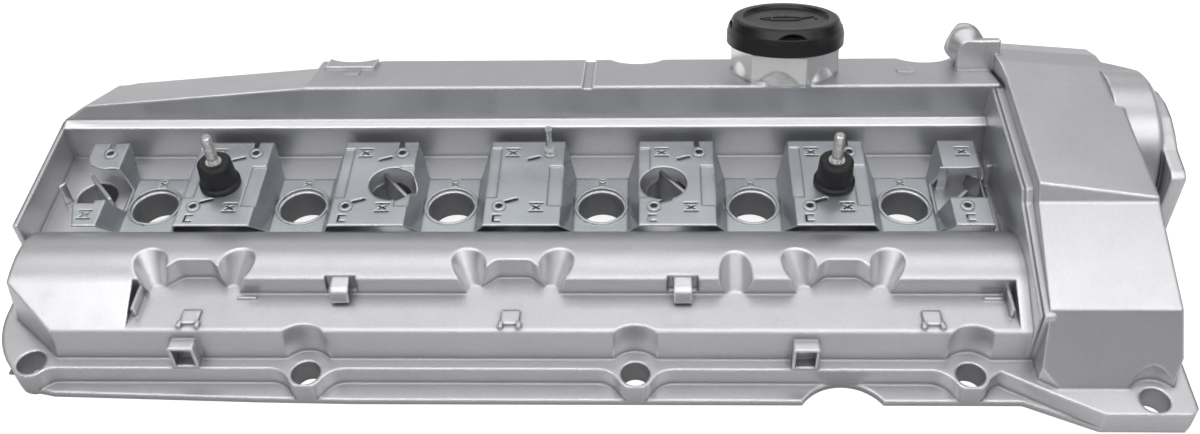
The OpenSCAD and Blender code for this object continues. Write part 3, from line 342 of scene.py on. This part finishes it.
def silver_paint():
    """Silver paint over the sand-fine skin of the casting; the neck is machined and the ledge carries a painted
    highlight in the same bright colour. Free edges are lighter, partly wear and partly painted highlight, and
    creases get painted shade.
    """
    f = Finish("silver_paint", edge_radius=0.0026, grain=1500.0, mottle=26.0, bump=0.10, reach=0.0042)
    t = f.t
    shaded = t.add("ShaderNodeVectorMath", {"operation": "SCALE"})
    t.put(shaded, "0", t.mix(f.grain["Tone"], PAINT["dull"], PAINT["bright"]))
    t.put(shaded, "Scale", t.spread(t.cell_value(f.place, 1900.0), 0.0, 1.0, 0.95, 1.04))
    turned = turned_share(t, f.place)
    # The neck is really machined; the ledge strip is a painted highlight in the same bright colour.
    machined_and_highlit = t.math("MAXIMUM", turned, ledge_highlight_share(t, f.place))
    bright = t.mix(machined_and_highlit, shaded.outputs[0], PAINT["machined"])
    # Lighter free edges: partly worn paint, partly a painted highlight.
    wear_and_highlight = t.mix(f.crease["Free edge"], bright, PAINT["wear_and_highlight"])
    # Painted shade: creases are darkened by how closed in each point lies, as ambient occlusion would shade them.
    crease_shaded = f.covered(wear_and_highlight, f.crease["Crease"], 0.55, PAINT["crease_shade"])
    dust = t.math("MULTIPLY", f.dust["Mask"], t.math("SUBTRACT", 1.0, machined_and_highlit))
    dusty = f.covered(crease_shaded, dust, 0.10, PAINT["dust"])
    painted = t.math("ADD", f.by_grain(0.34, 0.42), t.math("MULTIPLY", dust, 0.06))
    polished = t.math("MAXIMUM", turned, f.crease["Free edge"])
    rough = t.math("SUBTRACT", painted, t.math("MULTIPLY", polished, 0.16))
    f.set(Base_Color=dusty, Roughness=rough, Metallic=0.88)
    return f.material


def zinc_sheet():
    """Pressed sheet with a bright zinc skin: soft patches, faint crystals and drawn streaks, with painted
    highlights on the bends and painted shade in the creases.
    """
    f = Finish("galvanised_steel", edge_radius=0.0019, grain=260.0, mottle=38.0, bump=0.03,
               reach=0.0025)
    t = f.t
    stretched = t.add("ShaderNodeMapping", Vector=f.place, Scale=(30.0, 500.0, 500.0)).outputs[0]
    streak = t.spread(t.noise(stretched, 1.0, 3.0, 0.6), 0.45, 0.8, 0.0, 1.0)
    patch = t.spread(t.noise(f.place, 22.0, 3.0, 0.5), 0.28, 0.74, 0.0, 1.0)
    tone = t.mix(patch, SHEET["dull"], SHEET["bright"])
    spangled = f.covered(tone, t.cell_value(f.place, 150.0), 0.03, SHEET["crystal"])
    drawn = f.covered(spangled, streak, 0.10, SHEET["streak"])
    # Painted highlight along the bends and free edges of the sheet.
    bend_highlights = t.math("MAXIMUM", t.math("MULTIPLY", f.crease["Free edge"], 0.8),
                   t.math("MULTIPLY", f.edge["Edge"], 0.55))
    edged = t.mix(bend_highlights, drawn, SHEET["bend_highlight"])
    # Painted shade: creases of the sheet are darkened by how closed in each point lies.
    creased = f.covered(edged, f.crease["Crease"], 0.5, SHEET["crease_shade"])
    f.set(Base_Color=creased, Roughness=t.spread(patch, 0.0, 1.0, 0.24, 0.36), Metallic=0.80)
    return f.material


def turned_zinc():
    """Turned steel with a thin zinc plating and fine tool rings."""
    f = Finish("zinc_steel", edge_radius=0.0003, grain=1600.0, mottle=120.0, bump=0.10,
               bump_distance=0.0002)
    t = f.t
    rings = t.add("ShaderNodeTexWave", {"bands_direction": "Z"}, Vector=f.place, Scale=900.0,
                  Distortion=1.5)
    tone = t.mix(f.grain["Tone"], TURNED["dull"], TURNED["bright"])
    ringed = f.covered(tone, rings.outputs["Fac"], 0.12, TURNED["ring"])
    f.set(Base_Color=ringed, Roughness=f.by_grain(0.22, 0.34), Metallic=1.0)
    return f.material


def moulded_rubber():
    """Black rubber with a matt moulded skin and a little bloom."""
    f = Finish("black_rubber", edge_radius=0.0008, grain=1300.0, mottle=60.0, bump=0.20)
    tone = f.t.mix(f.grain["Tone"], RUBBER["dull"], RUBBER["bright"])
    bloom = f.covered(tone, f.dust["Mask"], 0.12, RUBBER["bloom"])
    # Lighter free edges: partly rubbed rubber, partly a painted highlight.
    wear_and_highlight = f.covered(bloom, f.crease["Free edge"], 0.2, RUBBER["wear_and_highlight"])
    f.set(Base_Color=wear_and_highlight, Roughness=f.by_grain(0.42, 0.58), Metallic=0.0,
          Specular_IOR_Level=0.45)
    return f.material


def grained_plastic():
    """Black plastic with a fine spark-eroded grain; its free edges are lighter, partly from handling and partly as
    a painted highlight.
    """
    f = Finish("black_plastic", edge_radius=0.0011, grain=1800.0, mottle=40.0, bump=0.18)
    tone = f.t.mix(f.grain["Tone"], PLASTIC["dull"], PLASTIC["bright"])
    # Lighter free edges: partly handling wear, partly a painted highlight.
    handled_and_highlit = f.covered(tone, f.crease["Free edge"], 0.4, PLASTIC["handled_and_highlit"])
    dusty = f.covered(handled_and_highlit, f.dust["Mask"], 0.05, PLASTIC["dust"])
    f.set(Base_Color=dusty, Roughness=f.by_grain(0.26, 0.36), Metallic=0.0,
          Specular_IOR_Level=0.40)
    return f.material


FINISHES = {
    "silver_paint": silver_paint(),
    "galvanised_steel": zinc_sheet(),
    "zinc_steel": turned_zinc(),
    "black_rubber": moulded_rubber(),
    "black_plastic": grained_plastic(),
}


def dress_cad_nodes():
    """Every CAD node gets the finish that the record names for it."""
    for part in frame["record"]["subparts"]:
        mesh = nodes[part["node"]].data
        mesh.materials.clear()
        mesh.materials.append(FINISHES[part["material_slot"]])


# Pieces

def add_piece(name, mesh, body, slot):
    """A finished piece: its mesh is in place, its object at the origin."""
    piece = bpy.data.objects.new(name, mesh)
    bpy.context.scene.collection.objects.link(piece)
    mesh.materials.clear()
    mesh.materials.append(FINISHES[slot])
    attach(piece, body)
    return piece


def thread_tree():
    """Screw thread as a three-sided wire wound along a stud."""
    tree = bpy.data.node_groups.new("screw_thread", "GeometryNodeTree")
    for label, value in (("Radius", 0.003), ("Pitch", 0.001), ("Length", 0.015), ("Depth", 0.0004)):
        socket = tree.interface.new_socket(name=label, in_out="INPUT", socket_type=FLOAT)
        socket.default_value = value
    tree.interface.new_socket(name="Finish", in_out="INPUT", socket_type="NodeSocketMaterial")
    tree.interface.new_socket(name="Geometry", in_out="OUTPUT", socket_type="NodeSocketGeometry")
    t = Tree(tree)
    ins = t.add("NodeGroupInput").outputs
    spiral = t.add("GeometryNodeCurveSpiral", Resolution=28)
    t.put(spiral, "Rotations", t.math("DIVIDE", ins["Length"], ins["Pitch"]))
    for key in ("Start Radius", "End Radius"):
        t.put(spiral, key, ins["Radius"])
    t.put(spiral, "Height", ins["Length"])
    wire = t.add("GeometryNodeCurvePrimitiveCircle", Resolution=3)
    t.put(wire, "Radius", ins["Depth"])
    sweep = t.add("GeometryNodeCurveToMesh", Curve=spiral.outputs[0])
    t.put(sweep, "Profile Curve", wire.outputs[0])
    t.put(sweep, "Fill Caps", True)
    solid = t.add("GeometryNodeRealizeInstances", Geometry=sweep.outputs[0])
    painted = t.add("GeometryNodeSetMaterial", Geometry=solid.outputs[0])
    t.put(painted, "Material", ins["Finish"])
    t.tree.links.new(painted.outputs[0], t.add("NodeGroupOutput").inputs[0])
    return tree


def grown_mesh(name, tree, **values):
    """Runs a geometry node tree once and returns its result as a plain mesh."""
    carrier = bpy.data.objects.new(name, bpy.data.meshes.new(name))
    bpy.context.scene.collection.objects.link(carrier)
    modifier = carrier.modifiers.new("grow", "NODES")
    modifier.node_group = tree
    for socket in tree.interface.items_tree:
        if socket.in_out == "INPUT" and socket.name in values:
            modifier[socket.identifier] = values[socket.name]
    graph = bpy.context.evaluated_depsgraph_get()
    mesh = bpy.data.meshes.new_from_object(carrier.evaluated_get(graph))
    mesh.name = name
    bpy.data.objects.remove(carrier)
    return mesh


def point_outwards(mesh):
    """Joins doubled points and turns all faces outwards."""
    work = bmesh.new()
    work.from_mesh(mesh)
    bmesh.ops.remove_doubles(work, verts=work.verts, dist=1e-6)
    bmesh.ops.recalc_face_normals(work, faces=work.faces)
    work.to_mesh(mesh)
    work.free()


THREADED_STUDS = ("buffer_stud_left", "buffer_stud_right")
THREAD_RADIUS, THREAD_PITCH, THREAD_LENGTH, THREAD_WIRE = 0.00298, 0.0010, 0.0165, 0.00034
THREAD_DROP = 0.0178  # from the stud's upper end down to where the thread begins


def make_threads():
    """Threads on the upper studs of both buffers."""
    tree = thread_tree()
    for node in THREADED_STUDS:
        lo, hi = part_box(node)
        centre = (lo + hi) / 2
        mesh = grown_mesh(node + "_thread", tree, Radius=THREAD_RADIUS, Pitch=THREAD_PITCH,
                          Length=THREAD_LENGTH, Depth=THREAD_WIRE, Finish=FINISHES["zinc_steel"])
        mesh.transform(Matrix.Translation((centre.x, centre.y, hi.z - THREAD_DROP)))
        point_outwards(mesh)
        add_piece(node + "_thread", mesh, "cover", "zinc_steel")


# Oil can sign on the cap, drawn in millimetres round its middle

CAN_BODY = [(-9, -3.6), (7.5, -3.6), (10.6, 0.2), (17.5, 3.2), (17.9, 4.3), (16.6, 4.4),
            (9.4, 2.4), (4.6, 4.2), (-9, 4.2)]
CAN_HANDLE = [(-9, 3.4), (-14.2, 3.4), (-15.6, 1.9), (-14.2, -0.4), (-9, -1.8), (-9, -0.6),
              (-13.2, 0.5), (-14.0, 1.9), (-13.4, 2.4), (-9, 2.4)]
CAN_KNOB = [(-3.4, 4.2), (-3.4, 5.2), (-5.6, 5.2), (-5.6, 6.4), (1.8, 6.4), (1.8, 5.2),
            (-0.4, 5.2), (-0.4, 4.2)]
CAN_DROP = [(18.4, 1.9), (17.5, 0.2), (17.7, -0.9), (18.4, -1.3), (19.1, -0.9), (19.3, 0.2)]
CAN_WALL = 1.0
SIGN_HEIGHT, SIGN_FOOT, SIGN_BEVEL = 0.55, 0.3, 0.12
SIGN_TURN = math.radians(2)
SHARP_ANGLE = 0.8  # radians between two faces, past which their edge is bevelled
# Millimetres along the neck's axis: the neck, the gap under the cap, the cap, and its sunk top
NECK_HEIGHT, CAP_GAP, CAP_HEIGHT, TOP_SUNK = 18.4, 0.3, 16.2, 1.8


def outline_band(points, width):
    """The inner outline of a closed band of that width."""
    count = len(points)
    inner = []
    for i in range(count):
        a, b, c = (Vector(points[(i + k) % count]) for k in (-1, 0, 1))
        u, v = (b - a).normalized(), (c - b).normalized()
        side = Vector((-u.y, u.x)) + Vector((-v.y, v.x))
        inner.append(b + side.normalized() * width / max(side.length / 2, 0.5))
    return inner


def relief(name, outlines, height, to_place):
    """Raised figures of that height, each a filled outline or a band between two outlines."""
    work = bmesh.new()
    for outer, inner in outlines:
        count = len(outer)
        low, high = [], []
        for ring in (outer, inner) if inner else (outer,):
            for level, rings in ((-SIGN_FOOT, low), (height, high)):
                rings.append([work.verts.new(to_place @ Vector((x, y, level)) * MM)
                              for x, y in ring])
        if not inner:
            work.faces.new(high[0])
            work.faces.new(list(reversed(low[0])))
        for i in range(count):
            j = (i + 1) % count
            if inner:
                work.faces.new((high[0][i], high[0][j], high[1][j], high[1][i]))
                work.faces.new((low[0][j], low[0][i], low[1][i], low[1][j]))
                work.faces.new((low[1][j], low[1][i], high[1][i], high[1][j]))
            work.faces.new((low[0][i], low[0][j], high[0][j], high[0][i]))
    bmesh.ops.recalc_face_normals(work, faces=work.faces)
    sharp = [e for e in work.edges if e.calc_face_angle(0) > SHARP_ANGLE]
    bmesh.ops.bevel(work, geom=sharp, offset=SIGN_BEVEL * MM, segments=1, affect="EDGES",
                    clamp_overlap=True)
    mesh = bpy.data.meshes.new(name)
    work.to_mesh(mesh)
    work.free()
    return mesh


def make_cap_sign():
    """The oil can sign in low relief on the cap's sunk top."""
    tilt = Matrix.Rotation(-PLATEAU_TILT, 4, "X")
    axis = tilt @ Vector((0, 0, 1))
    top = neck_middle() / MM + axis * (NECK_HEIGHT + CAP_GAP + CAP_HEIGHT - TOP_SUNK)
    to_place = Matrix.Translation(top) @ tilt @ Matrix.Rotation(SIGN_TURN, 4, "Z")
    figures = [(CAN_BODY, outline_band(CAN_BODY, CAN_WALL))]
    figures += [(outline, None) for outline in (CAN_HANDLE, CAN_KNOB, CAN_DROP)]
    mesh = relief("oil_can_sign", figures, SIGN_HEIGHT, to_place)
    add_piece("oil_can_sign", mesh, "cap", "black_plastic")


# Floor, backdrop and lights

FLOOR_HALF, FLOOR_DROP = 6.0, 0.0005
PAPER_SEEN, PAPER_IN_METAL, PAPER_LIT, PAPER_ROUGHNESS = 0.9, 0.48, 0.32, 0.9
# Metres past the part's sides between which the paper turns from dark to bright in the metal
UNDER_EDGE = (-0.03, 0.02)


def white_paper(name, seen, mirrored, lit):
    """White paper that takes shadows, with its own light for the camera and for what metal mirrors.

    Metal doesn't mirror that light from under the part.
    """
    material = bpy.data.materials.new(name)
    material.use_nodes = True
    t = Tree(material.node_tree)
    shader = material.node_tree.nodes["Principled BSDF"]
    t.put(shader, "Base Color", (lit, lit, lit, 1))
    t.put(shader, "Roughness", PAPER_ROUGHNESS)
    place = t.split(t.add("ShaderNodeTexCoord").outputs["Object"])
    past = []
    for k in (0, 1):
        lo, hi = cad_box[0][k], cad_box[1][k]
        away = t.math("ABSOLUTE", t.math("SUBTRACT", place[k], (lo + hi) / 2))
        past.append(t.math("SUBTRACT", away, (hi - lo) / 2))
    around = t.spread(t.math("MAXIMUM", past[0], past[1]), *UNDER_EDGE, 0.0, 1.0)
    path = t.add("ShaderNodeLightPath")
    bounced = t.math("MAXIMUM", path.outputs["Is Glossy Ray"], path.outputs["Is Transmission Ray"])
    in_metal = t.math("MULTIPLY", bounced, t.math("MULTIPLY", around, mirrored))
    in_view = t.math("MULTIPLY", path.outputs["Is Camera Ray"], seen)
    t.put(shader, "Emission Color", WHITE)
    t.put(shader, "Emission Strength", t.math("ADD", in_view, in_metal))
    return material


def make_stage():
    """The floor that the part lies on."""
    work = bmesh.new()
    bmesh.ops.create_grid(work, x_segments=1, y_segments=1, size=FLOOR_HALF)
    mesh = bpy.data.meshes.new("floor")
    work.to_mesh(mesh)
    work.free()
    mesh.transform(Matrix.Translation((0, 0, -FLOOR_DROP)))
    mesh.materials.append(white_paper("floor_paper", PAPER_SEEN, PAPER_IN_METAL, PAPER_LIT))
    floor = bpy.data.objects.new("floor", mesh)
    bpy.context.scene.collection.objects.link(floor)


def soft_lamp(name, place, aim, size, power):
    """A rectangular lamp box that faces its aim."""
    data = bpy.data.lights.new(name, "AREA")
    data.shape, data.size, data.size_y, data.energy = "RECTANGLE", size[0], size[1], power
    lamp = bpy.data.objects.new(name, data)
    lamp.location = place
    lamp.rotation_euler = (Vector(aim) - Vector(place)).to_track_quat("-Z", "Y").to_euler()
    bpy.context.scene.collection.objects.link(lamp)


# Lamp boxes of the studio: name, place and aim in metres, size in metres, power in watts
STUDIO_LAMPS = [
    ("rear_low", (0.0, 1.391, 0.562), (0, 0, 0), (2.4, 0.45), 2.9),
    ("rear_high", (0.0, 0.882, 1.214), (0, 0, 0), (2.4, 0.40), 3.5),
    ("roof_rear", (0.0, 0.479, 1.316), (0, 0, 0), (2.4, 0.40), 5.1),
    ("roof_front", (0.0, -0.281, 1.320), (0, 0, 0), (2.4, 0.40), 8.0),
    ("front_high", (0.0, -0.700, 1.212), (0, 0, 0), (2.4, 0.40), 6.3),
    ("front_low", (0.15, -1.500, 0.280), (0.1, 0, 0.06), (1.7, 0.36), 0.6),
    ("left_side", (-1.3, -0.200, 0.750), (0, 0, 0), (0.5, 0.90), 0.7),
    ("right_side", (1.4, -0.200, 0.800), (0, 0, 0), (0.5, 0.90), 1.4),
]
SKY_LEVEL = 0.15


def light_scene():
    """White where the camera looks past the part, a dim even sky, and the lamp boxes."""
    world = bpy.data.worlds.new("studio")
    bpy.context.scene.world = world
    world.use_nodes = True
    t = Tree(world.node_tree)
    background = world.node_tree.nodes["Background"]
    path = t.add("ShaderNodeLightPath")
    t.put(background, "Color", WHITE)
    t.put(background, "Strength", t.math("MAXIMUM", path.outputs["Is Camera Ray"], SKY_LEVEL))
    for lamp in STUDIO_LAMPS:
        soft_lamp(*lamp)
    bpy.context.scene.view_settings.view_transform = "Standard"


aim_camera()
dress_cad_nodes()
make_threads()
make_cap_sign()
make_stage()
light_scene()
